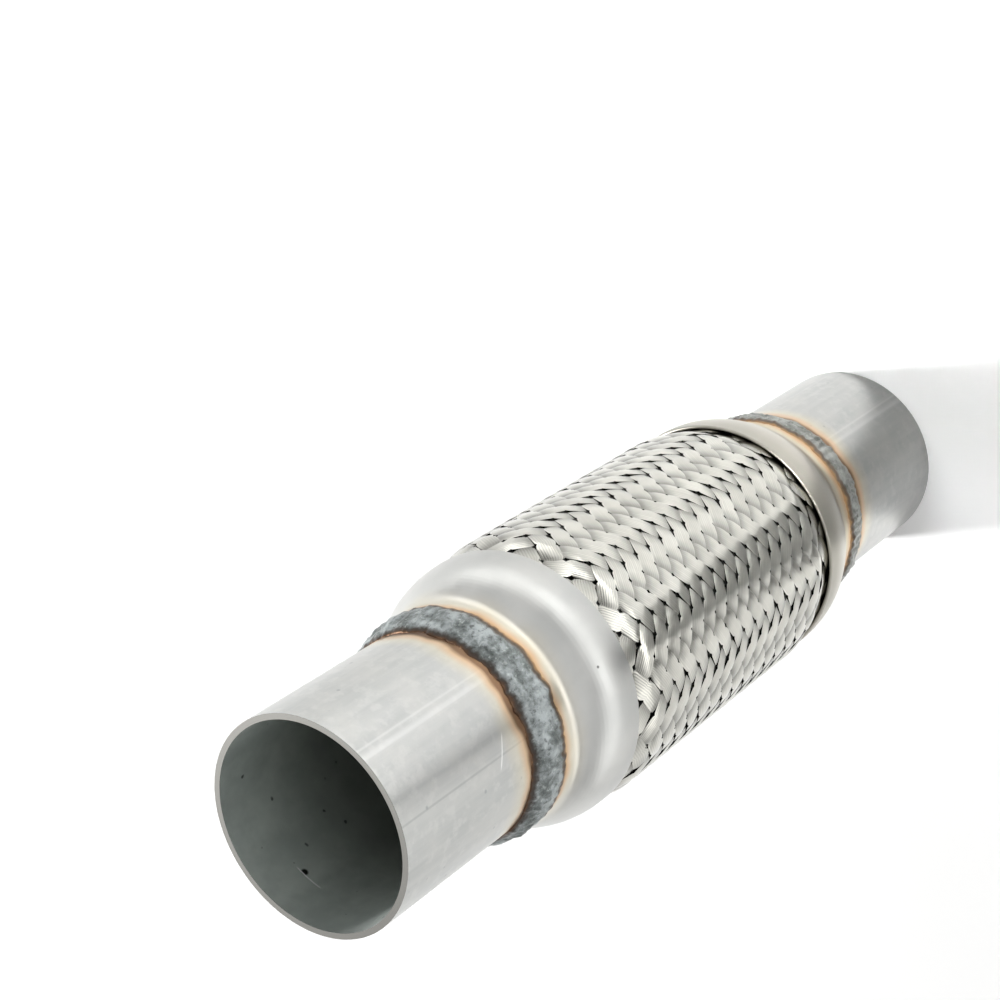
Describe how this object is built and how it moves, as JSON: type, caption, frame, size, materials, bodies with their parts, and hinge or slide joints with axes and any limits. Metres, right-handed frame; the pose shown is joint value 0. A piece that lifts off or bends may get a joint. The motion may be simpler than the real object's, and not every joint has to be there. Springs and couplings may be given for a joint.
{
  "type": "exhaust flex pipe",
  "caption": "Straight exhaust flex pipe: plain tube ends welded into flared caps that clamp a woven steel braid over a bellows and an inner liner.",
  "frame": {"origin": "centre of the outlet tube's cut face, which the pipe stands on", "axes": "+Z along the pipe's axis from the outlet to the inlet; X and Y across it"},
  "size_m": [0.0724, 0.0724, 0.266],
  "materials": {
    "spigot_steel": "satin, with lengthwise streaks and a heat tint at the weld",
    "cap_steel": "satin, with a heat tint at the weld",
    "weld": "dark, lumpy, as welded",
    "braid_wire": "bright drawn wire",
    "bellows_steel": "satin",
    "liner_wire": "dull woven wire",
    "liner_steel": "satin"
  },
  "bodies": {
    "root": {"inlet_spigot": "spigot_steel", "outlet_spigot": "spigot_steel", "inlet_end_cap": "cap_steel", "outlet_end_cap": "cap_steel", "inlet_weld_bead": "weld", "outlet_weld_bead": "weld", "outer_braid": "braid_wire", "bellows": "bellows_steel", "inner_braid": "liner_wire", "inlet_liner_ring": "liner_steel", "outlet_liner_ring": "liner_steel"}
  },
  "joints": []
}
